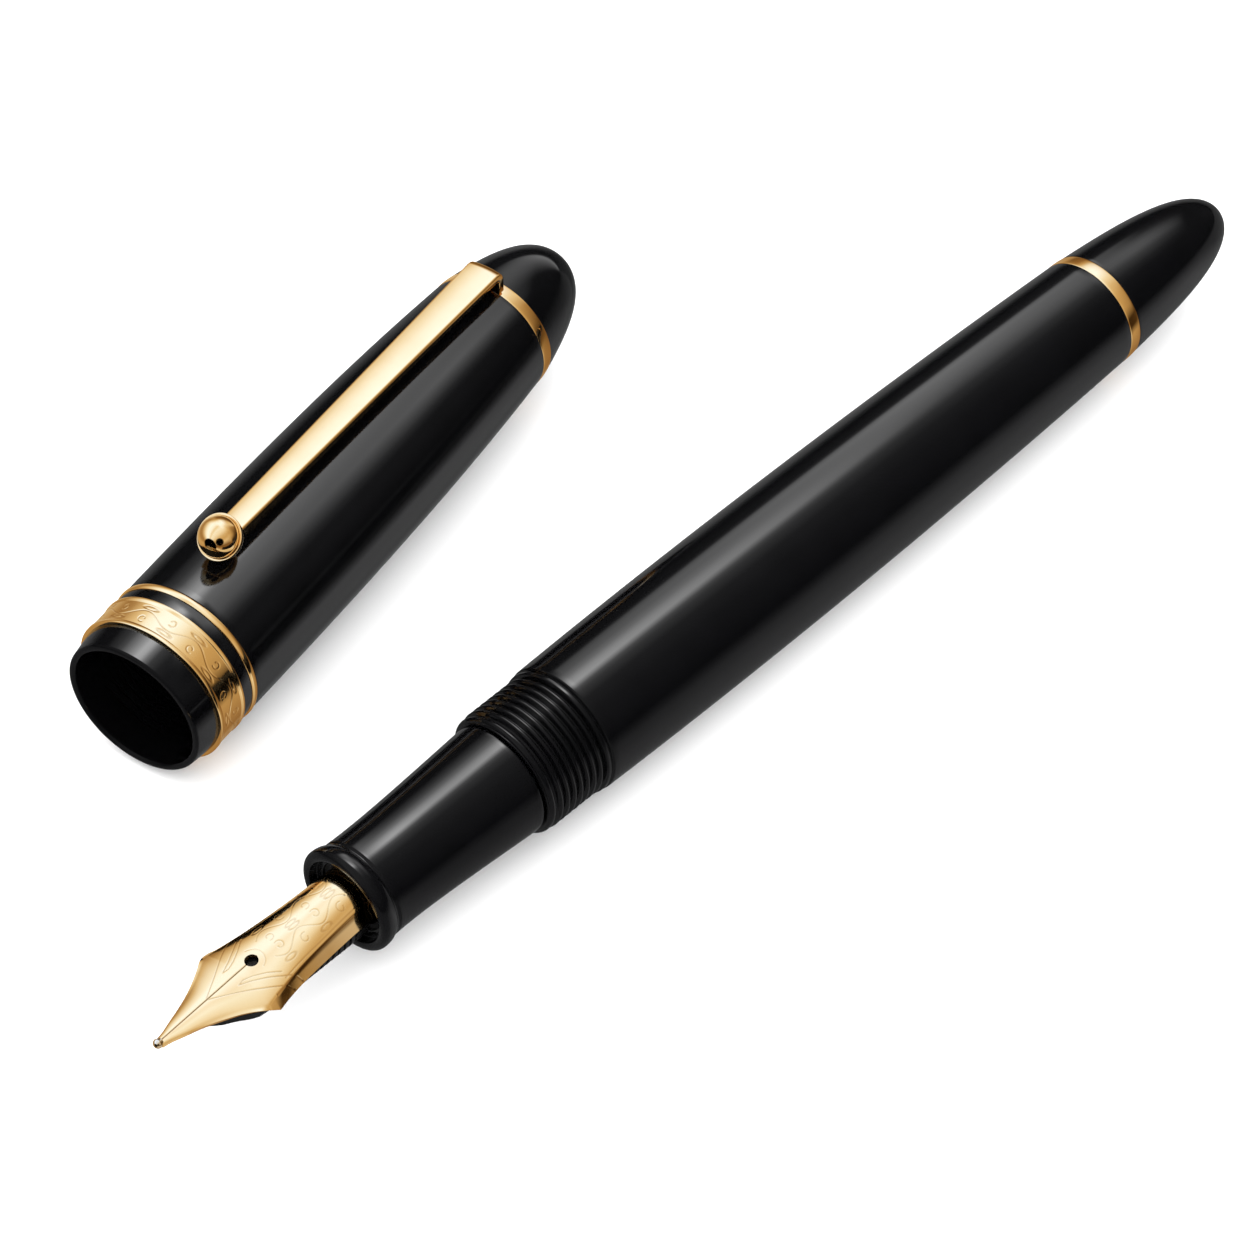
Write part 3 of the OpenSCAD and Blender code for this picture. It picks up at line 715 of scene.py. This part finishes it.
makeCrown(crown)
print("cap made")

# Clip: a tapering sprung bar with a tight fold, and a ball held in a cup at its free end
clip = {
    "start": 15.1, "startTop": 9.72, "startHalf": 1.1, "fold": 54.05, "foldTop": 8.85, "foldHalf": 1.62,
    "foldRadius": 1.25, "foot": 6.33, "thickness": 0.9, "edge": 0.2, "crowned": 0.13,
    "ball": 1.85, "wall": 0.25, "ballAt": 13.3, "ballHeight": 9.6, "cupTilt": -40,
}


# The bar's cross-section, from its upper left round its edge: (across, below the top)
def barSection(half, thick, edge, crowned):
    top = [(x, crowned * (x / half) ** 2) for x in np.linspace(-half + edge, half - edge, 13)]
    drop = crowned * ((half - edge) / half) ** 2
    corner = np.radians(np.linspace(90, 0, 6))[1:]
    right = [(half - edge + edge * math.cos(a), drop + edge - edge * math.sin(a)) for a in corner]
    lowEdge = edge * 0.5
    corner = np.radians(np.linspace(0, -90, 5))
    lowRight = [(half - lowEdge + lowEdge * math.cos(a), thick - lowEdge - lowEdge * math.sin(a))
                for a in corner]
    low = [(x, thick) for x in np.linspace(half - lowEdge, -half + lowEdge, 6)[1:-1]]
    lowLeft = [(-x, y) for x, y in reversed(lowRight)]
    left = [(-x, y) for x, y in reversed(right)]
    return top + right + lowRight + low + lowLeft + left


def makeClipBar(c):
    middle = (c["fold"] - c["foldRadius"], c["foldTop"] - c["foldRadius"])
    bend = arc(middle, c["foldRadius"], 86, 0, 12)
    path = [(c["start"] + (bend[0][0] - c["start"]) * t, c["startTop"] + (bend[0][1] - c["startTop"]) * t)
            for t in np.linspace(0, 1, 40)[:-1]]
    path += bend + [(c["fold"], z) for z in np.linspace(bend[-1][1], c["foot"], 5)[1:]]
    points, rings = [], []
    for i, (s, z) in enumerate(path):
        before, after = path[max(i - 1, 0)], path[min(i + 1, len(path) - 1)]
        run = np.array([after[0] - before[0], after[1] - before[1]])
        run /= np.linalg.norm(run)
        down = np.array([run[1], -run[0]])
        share = min(1, (s - c["start"]) / (c["fold"] - c["start"]))
        half = c["startHalf"] + (c["foldHalf"] - c["startHalf"]) * share
        rings.append([])
        for across, below in barSection(half, c["thickness"], c["edge"], c["crowned"]):
            spot = np.array([s, z]) + down * below
            rings[-1].append(len(points))
            points.append((spot[0], across, spot[1]))
    faces = ringFaces(rings, False) + [rings[0][::-1], rings[-1]]
    return finishPiece("clipBar", points, faces, capPlace, "clip", ["clip_bar"], gold, sharp=60)


def makeBall(c):
    spot = capPlace @ Matrix.Translation((c["ballAt"], 0, c["ballHeight"]))
    tilt = Matrix.Rotation(math.radians(c["cupTilt"]), 4, "Y")
    tilted = spot @ tilt @ Matrix.Rotation(math.radians(-90), 4, "Y")
    ball = arc((0, 0), c["ball"], 180, 0, 64)
    ball[0], ball[-1] = (-c["ball"], 0), (c["ball"], 0)
    turnedPiece("clipBall", ball, tilted, "clip", ["clip_ball"], gold, loop=False, turns=128)
    outer, inner = c["ball"] + c["wall"], c["ball"] + 0.01
    cup = arc((0, 0), inner, 180, 91, 24) + arc((0, 0), outer, 90, 180, 24)
    cup[0], cup[-1] = (-inner, 0), (-outer, 0)
    turnedPiece("clipCup", eased(cup, 0.07, loop=False), tilted, "clip", ["clip_cup"], gold,
                loop=False, turns=128)


makeClipBar(clip)
makeBall(clip)
print("clip made")

# Camera: a long lens, looking down at the pen from beyond its nib
camera = {"place": (-0.256805, -0.251475, 0.39377), "towards": (0.48169, 0.45774, -0.74729), "lens": 172.25}


def makeCamera(c):
    data = bpy.data.cameras.new("camera")
    data.lens = c["lens"]
    data.sensor_width = 36
    data.clip_start, data.clip_end = 0.01, 20
    seen = bpy.data.objects.new("camera", data)
    bpy.context.scene.collection.objects.link(seen)
    seen.location = c["place"]
    seen.rotation_mode = "QUATERNION"
    seen.rotation_quaternion = Vector(c["towards"]).to_track_quat("-Z", "Y")
    bpy.context.scene.camera = seen


makeCamera(camera)

# Soft studio light: the floor stays nearly white under an even fill. Reflections come from clear domes,
# each lighting its own pieces. A dome's ramps go with how far a direction leans along the pen, and each
# ramp lists the angle about the pen, from straight up towards its far side, and the brightness there.
studio = {
    "floor": 6, "floorColour": (0.93, 0.93, 0.93), "ambient": 2.1,
    "fillHeight": 0.9, "fillSize": 1.5, "fillPower": 3,
}
penDome = {
    "radius": 2.2, "top": 9, "warm": False, "flags": [],
    "ramps": [
        (0.24, [(-180, 0.15), (-98, 0.15), (-90, 0.02), (-50, 0.12), (0, 0.3), (30, 0.35), (60, 0.12),
                (88, 0.02), (98, 0.15), (180, 0.15)]),
        (0.38, [(-180, 0.12), (-140, 0.2), (-110, 0.18), (-100, 0.08), (-90, 0.01), (-64, 0.07), (-40, 0.12),
                (-16, 0.25), (-2, 0.8), (5, 1.7), (9, 4.8), (14, 8.6), (21, 7), (31, 3), (40, 1.2), (48, 0.5),
                (55, 0.2), (61, 0.03), (90, 0.01), (98, 0.1), (112, 0.2), (180, 0.15)]),
        (0.58, [(-180, 0.15), (-130, 0.4), (-112, 0.35), (-98, 0.12), (-90, 0.01), (-64, 0.05), (-40, 0.09),
                (-16, 0.18), (0, 0.45), (14, 1.2), (31, 2.1), (47, 2.5), (53, 1.9), (58, 0.25), (64, 0.08),
                (84, 0.01), (94, 0.1), (104, 0.25), (130, 0.25), (180, 0.15)]),
        (0.72, [(-180, 0.2), (-130, 0.5), (-112, 0.4), (-98, 0.15), (-90, 0.01), (-60, 0.02), (-30, 0.08),
                (-16, 0.25), (0, 0.75), (14, 1.5), (24, 1.4), (35, 0.8), (45, 0.25), (55, 0.08), (70, 0.02),
                (90, 0.02), (104, 0.2), (180, 0.2)]),
        (0.86, [(-180, 0.2), (-100, 0.2), (-90, 0.02), (0, 0.06), (90, 0.02), (100, 0.15), (180, 0.2)]),
    ],
}
# The lip of the cap tapers, so one ramp serves a range of leans
lipGlow = [
    (-180, 0.15), (-134, 0.3), (-122, 0.2), (-114, 0.03), (-90, 0.01), (-62, 0.13), (-46, 0.12),
    (-30, 0.13), (-14, 0.27), (0, 0.9), (8, 3.5), (14, 8), (20, 9), (26, 6), (34, 3.4), (44, 1.1),
    (52, 0.5), (62, 0.2), (68, 0.04), (90, 0.02), (98, 0.1), (112, 0.2), (180, 0.15),
]
capDome = {
    "radius": 2.35, "top": 10, "warm": False, "flags": [],
    "ramps": [
        (0.1, [(-180, 0.12), (-98, 0.12), (-90, 0.02), (-50, 0.08), (0, 0.2), (30, 0.25), (60, 0.1),
               (88, 0.02), (98, 0.12), (180, 0.12)]),
        (0.2, lipGlow),
        (0.42, lipGlow),
        (0.5, [(-180, 0.15), (-134, 0.5), (-124, 0.3), (-114, 0.03), (-90, 0.01), (-62, 0.1), (-46, 0.06),
               (-36, 0.15), (-26, 0.55), (-14, 1.5), (2, 2.4), (18, 2.8), (34, 1.8), (50, 1), (60, 0.4),
               (66, 0.08), (90, 0.02), (100, 0.2), (180, 0.2)]),
        (0.68, [(-180, 0.2), (-134, 0.6), (-124, 0.3), (-114, 0.03), (-90, 0.01), (-62, 0.1), (-46, 0.12),
                (-36, 0.4), (-26, 1.1), (-14, 2.1), (2, 1.6), (18, 1.5), (34, 1.4), (50, 0.9), (62, 0.3),
                (70, 0.04), (90, 0.02), (104, 0.25), (180, 0.2)]),
        (0.9, [(-180, 0.2), (-120, 0.1), (-90, 0.01), (-60, 0.02), (-30, 0.03), (8, 0.05), (20, 0.25),
               (38, 0.7), (52, 1.1), (62, 1.5), (68, 1.5), (72, 0.04), (90, 0.02), (104, 0.06), (180, 0.1)]),
    ],
}
# Flags are small dark patches that show in the ball: where each lies and its half width in degrees
goldDome = {
    "radius": 2.5, "top": 3, "warm": True,
    "flags": [((-0.6, -0.72, 0.34), 19), ((-1, -0.03, -0.1), 30)],
    "ramps": [
        (0.12, [(-180, 0.3), (-120, 0.9), (-104, 0.3), (-92, 0.2), (-70, 0.8), (-54, 0.6), (-38, 0.75),
                (-20, 1.2), (0, 1.5), (14, 1.1), (28, 1.9), (44, 2.2), (58, 1.5), (74, 0.8), (90, 0.4),
                (104, 0.4), (120, 0.6), (180, 0.3)]),
        (0.36, [(-180, 0.3), (-140, 0.8), (-122, 1.2), (-112, 1), (-104, 0.65), (-99, 0.3), (-95, 0.28),
                (-88, 0.5), (-62, 0.7), (-46, 0.62), (-32, 0.8), (-18, 1.2), (-4, 1.7), (12, 2.2), (30, 2.3),
                (44, 1.7), (54, 1), (66, 0.7), (80, 0.4), (92, 0.35), (106, 0.5), (130, 0.6), (180, 0.3)]),
        (0.5, [(-180, 0.3), (-126, 0.5), (-112, 0.06), (-92, 0.04), (-80, 0.42), (-62, 0.62), (-46, 0.55),
               (-30, 0.78), (-14, 1.05), (2, 1.6), (18, 2.3), (34, 1.9), (46, 1.3), (56, 0.8), (66, 0.5),
               (82, 0.45), (98, 0.5), (114, 0.7), (180, 0.35)]),
        (0.62, [(-180, 0.3), (-126, 0.5), (-110, 0.05), (-92, 0.05), (-70, 0.5), (-40, 0.6), (-16, 0.8),
                (0, 1.2), (10, 1.7), (22, 2.3), (36, 2.2), (48, 1.4), (58, 0.6), (70, 0.3), (90, 0.2),
                (104, 0.45), (180, 0.3)]),
        (0.86, [(-180, 0.3), (-90, 0.1), (-30, 0.4), (0, 0.9), (30, 0.8), (60, 0.25), (90, 0.1), (180, 0.3)]),
    ],
}


floorDrop = 0.00002  # the floor lies this far under the pen, in metres


def makeFloor(s):
    mesh = bpy.data.meshes.new("floor")
    half = s["floor"] / 2
    corners = [(-half, -half, 0), (half, -half, 0), (half, half, 0), (-half, half, 0)]
    mesh.from_pydata(corners, [], [(0, 1, 2, 3)])
    floor = bpy.data.objects.new("floor", mesh)
    bpy.context.scene.collection.objects.link(floor)
    material, tree, shader = newMaterial("paleFloor", s["floorColour"], 0, 0.9)
    spread(tree, objectNoise(tree, 40, 2), 0.85, 0.95, shader.inputs["Roughness"])
    mesh.materials.append(material)
    floor.location.z = cadLow.z - floorDrop
    floor.visible_glossy = False


def mathNode(tree, operation, first, second=0.0):
    node = tree.nodes.new("ShaderNodeMath")
    node.operation = operation
    for socket, value in zip(node.inputs, (first, second)):
        if isinstance(value, (int, float)):
            socket.default_value = value
        else:
            tree.links.new(value, socket)
    return node.outputs["Value"]


# Warm domes are redder where they are dim and cooler where they are bright: brightness, then its colour
warmth = [(0, 0, 0, 0), (0.3, 0.31, 0.18, 0.07), (0.6, 0.67, 0.52, 0.3), (1, 0.97, 0.95, 0.85),
          (1.5, 1.12, 1.35, 1.8), (2.4, 1.3, 1.7, 2.8)]


def glowColour(glow, warm):
    if not warm:
        return glow, glow, glow
    levels = [row[0] for row in warmth]
    return tuple(float(np.interp(glow, levels, [row[part] for row in warmth])) for part in (1, 2, 3))


# The brightness by the angle about the pen
def directionRamp(tree, angle, table, look):
    share = mathNode(tree, "ADD", mathNode(tree, "DIVIDE", angle, 2 * math.pi), 0.5)
    ramp = tree.nodes.new("ShaderNodeValToRGB")
    stops = ramp.color_ramp.elements
    while len(stops) < len(table):
        stops.new(0.5)
    for stop, (degrees, glow) in zip(stops, table):
        stop.position = (degrees + 180) / 360
        stop.color = (*(part / look["top"] for part in glowColour(glow, look["warm"])), 1)
    tree.links.new(share, ramp.inputs["Fac"])
    return ramp.outputs["Color"]


flagEdge = 3  # degrees over which a dark flag fades


# 0 inside a dark flag and 1 outside it
def flagShare(tree, facing, aim, width):
    dot = tree.nodes.new("ShaderNodeVectorMath")
    dot.operation = "DOT_PRODUCT"
    dot.inputs[1].default_value = Vector(aim).normalized()
    tree.links.new(facing, dot.inputs[0])
    edge = tree.nodes.new("ShaderNodeMapRange")
    edge.inputs["From Min"].default_value = math.cos(math.radians(width + flagEdge))
    edge.inputs["From Max"].default_value = math.cos(math.radians(width))
    edge.inputs["To Min"].default_value = 1
    edge.inputs["To Max"].default_value = 0
    tree.links.new(dot.outputs["Value"], edge.inputs["Value"])
    return edge.outputs["Result"]


# A ramp for each lean, blended between leans
def blendedRamps(tree, parts, look):
    angle = mathNode(tree, "ARCTAN2", parts.outputs["Y"], parts.outputs["Z"])
    glow, before = None, None
    for lean, table in look["ramps"]:
        this = directionRamp(tree, angle, table, look)
        if glow is None:
            glow = this
        else:
            blend = tree.nodes.new("ShaderNodeMapRange")
            blend.inputs["From Min"].default_value = before
            blend.inputs["From Max"].default_value = lean
            mix = tree.nodes.new("ShaderNodeMix")
            mix.data_type = "RGBA"
            tree.links.new(parts.outputs["X"], blend.inputs["Value"])
            tree.links.new(blend.outputs["Result"], mix.inputs["Factor"])
            tree.links.new(glow, mix.inputs["A"])
            tree.links.new(this, mix.inputs["B"])
            glow = mix.outputs["Result"]
        before = lean
    return glow


def domeMaterial(name, look):
    material = bpy.data.materials.new(name)
    material.use_nodes = True
    material.cycles.emission_sampling = "NONE"
    tree = material.node_tree
    tree.nodes.clear()
    place = tree.nodes.new("ShaderNodeTexCoord")
    facing = tree.nodes.new("ShaderNodeVectorMath")
    facing.operation = "NORMALIZE"
    parts = tree.nodes.new("ShaderNodeSeparateXYZ")
    tree.links.new(place.outputs["Object"], facing.inputs[0])
    tree.links.new(facing.outputs["Vector"], parts.inputs["Vector"])
    glow = blendedRamps(tree, parts, look)
    emission = tree.nodes.new("ShaderNodeEmission")
    emission.inputs["Strength"].default_value = look["top"]
    shares = [flagShare(tree, facing.outputs["Vector"], aim, width) for aim, width in look["flags"]]
    if shares:
        unflagged = shares[0]
        for share in shares[1:]:
            unflagged = mathNode(tree, "MULTIPLY", unflagged, share)
        strength = mathNode(tree, "MULTIPLY", unflagged, look["top"])
        tree.links.new(strength, emission.inputs["Strength"])
    clear = tree.nodes.new("ShaderNodeBsdfTransparent")
    both = tree.nodes.new("ShaderNodeAddShader")
    output = tree.nodes.new("ShaderNodeOutputMaterial")
    tree.links.new(glow, emission.inputs["Color"])
    tree.links.new(emission.outputs["Emission"], both.inputs[0])
    tree.links.new(clear.outputs["BSDF"], both.inputs[1])
    tree.links.new(both.outputs["Shader"], output.inputs["Surface"])
    return material


# A clear dome that only the given pieces reflect. No two domes have the same radius.
def makeDome(name, look, pieces):
    mesh = bpy.data.meshes.new(name)
    work = bmesh.new()
    bmesh.ops.create_uvsphere(work, u_segments=48, v_segments=24, radius=look["radius"])
    work.to_mesh(mesh)
    work.free()
    dome = bpy.data.objects.new(name, mesh)
    bpy.context.scene.collection.objects.link(dome)
    dome.visible_camera = False
    dome.visible_diffuse = False
    dome.visible_shadow = False
    mesh.materials.append(domeMaterial(name, look))
    receivers = bpy.data.collections.new(name)
    for piece in pieces:
        receivers.objects.link(piece)
    dome.light_linking.receiver_collection = receivers


def makeFill(s):
    data = bpy.data.lights.new("overheadFill", "AREA")
    data.shape = "SQUARE"
    data.size = s["fillSize"]
    data.energy = s["fillPower"]
    fill = bpy.data.objects.new("overheadFill", data)
    bpy.context.scene.collection.objects.link(fill)
    fill.location = (0, 0, s["fillHeight"])
    fill.visible_glossy = False


# The surroundings look white to the camera, are dark in reflections, and give a soft even fill
def makeSurroundings(s):
    world = bpy.data.worlds.new("surroundings")
    bpy.context.scene.world = world
    world.use_nodes = True
    tree = world.node_tree
    back = tree.nodes["Background"]
    rays = tree.nodes.new("ShaderNodeLightPath")
    glossy = tree.nodes.new("ShaderNodeMix")
    glossy.inputs["A"].default_value = s["ambient"]
    glossy.inputs["B"].default_value = 0
    seen = tree.nodes.new("ShaderNodeMix")
    seen.inputs["B"].default_value = 1
    tree.links.new(rays.outputs["Is Glossy Ray"], glossy.inputs["Factor"])
    tree.links.new(rays.outputs["Is Camera Ray"], seen.inputs["Factor"])
    tree.links.new(glossy.outputs["Result"], seen.inputs["A"])
    tree.links.new(seen.outputs["Result"], back.inputs["Strength"])
    back.inputs["Color"].default_value = (1, 1, 1, 1)


shown = [o for o in bpy.context.scene.objects if o.type == "MESH" and o.data.materials]
goldOnes = [o for o in shown if o.data.materials[0] in (gold, engravedGoldWithPaintedShade, pointMetal)]
capOnes = [o for o in shown if o.name.split(".")[0] in ("capTube", "crown")]
makeFloor(studio)
makeDome("penReflections", penDome, [o for o in shown if o not in goldOnes + capOnes])
makeDome("capReflections", capDome, capOnes)
makeDome("goldReflections", goldDome, goldOnes)
makeFill(studio)
makeSurroundings(studio)
bpy.context.scene.view_settings.view_transform = "Standard"
print("studio made")
